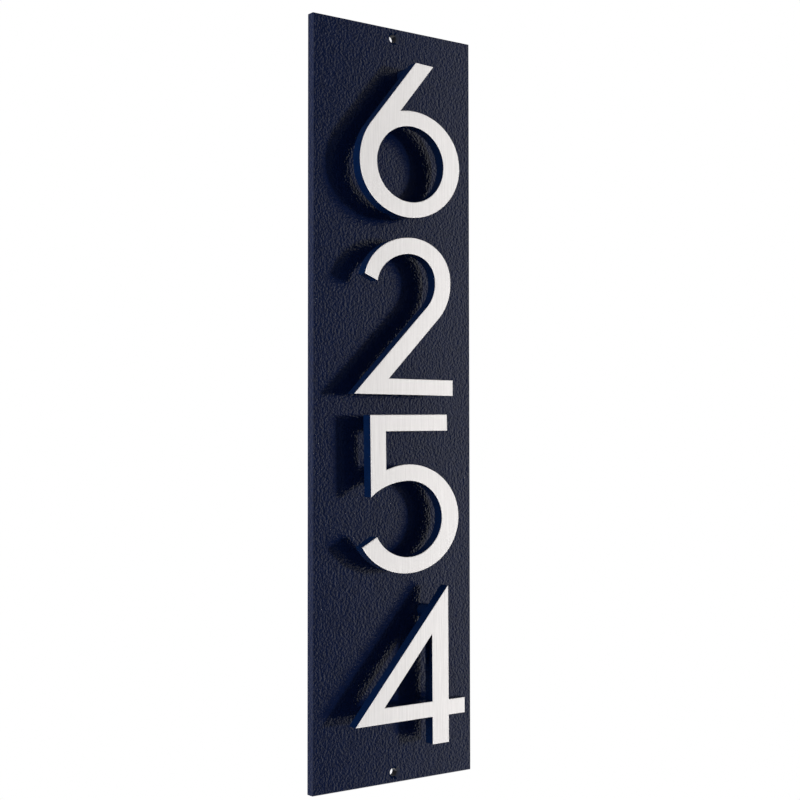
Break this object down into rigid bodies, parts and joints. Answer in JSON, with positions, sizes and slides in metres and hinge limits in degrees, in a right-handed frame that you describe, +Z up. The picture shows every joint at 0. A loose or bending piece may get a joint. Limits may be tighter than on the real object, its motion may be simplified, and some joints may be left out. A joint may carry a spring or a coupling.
{
  "type": "house number plaque",
  "caption": "Tall rectangular house number plaque: a navy textured plate whose brushed numerals stand clear of it on hidden spacers.",
  "frame": {"origin": "centre of the plate's back face, midway between the wall holes", "axes": "+Z up, the front faces -Y, +X to the right as seen from the front"},
  "size_m": [0.127, 0.0264, 0.4952],
  "materials": {
    "navy_coat": "textured powder coat, satin",
    "numeral": "front brushed upright, edges coated smooth navy",
    "spacer": "smooth navy powder coat, as the numerals' edges",
    "stud": "plain"
  },
  "bodies": {
    "root": {"back_plate": "navy_coat", "numeral_6": "numeral", "numeral_2": "numeral", "numeral_5": "numeral", "numeral_4": "numeral", "spacer_6_upper": "spacer", "spacer_6_lower": "spacer", "spacer_2_upper": "spacer", "spacer_2_lower": "spacer", "spacer_5_upper": "spacer", "spacer_5_lower": "spacer", "spacer_4_upper": "spacer", "spacer_4_lower": "spacer", "stud_6_upper": "stud", "stud_6_lower": "stud", "stud_2_upper": "stud", "stud_2_lower": "stud", "stud_5_upper": "stud", "stud_5_lower": "stud", "stud_4_upper": "stud", "stud_4_lower": "stud"}
  },
  "joints": []
}
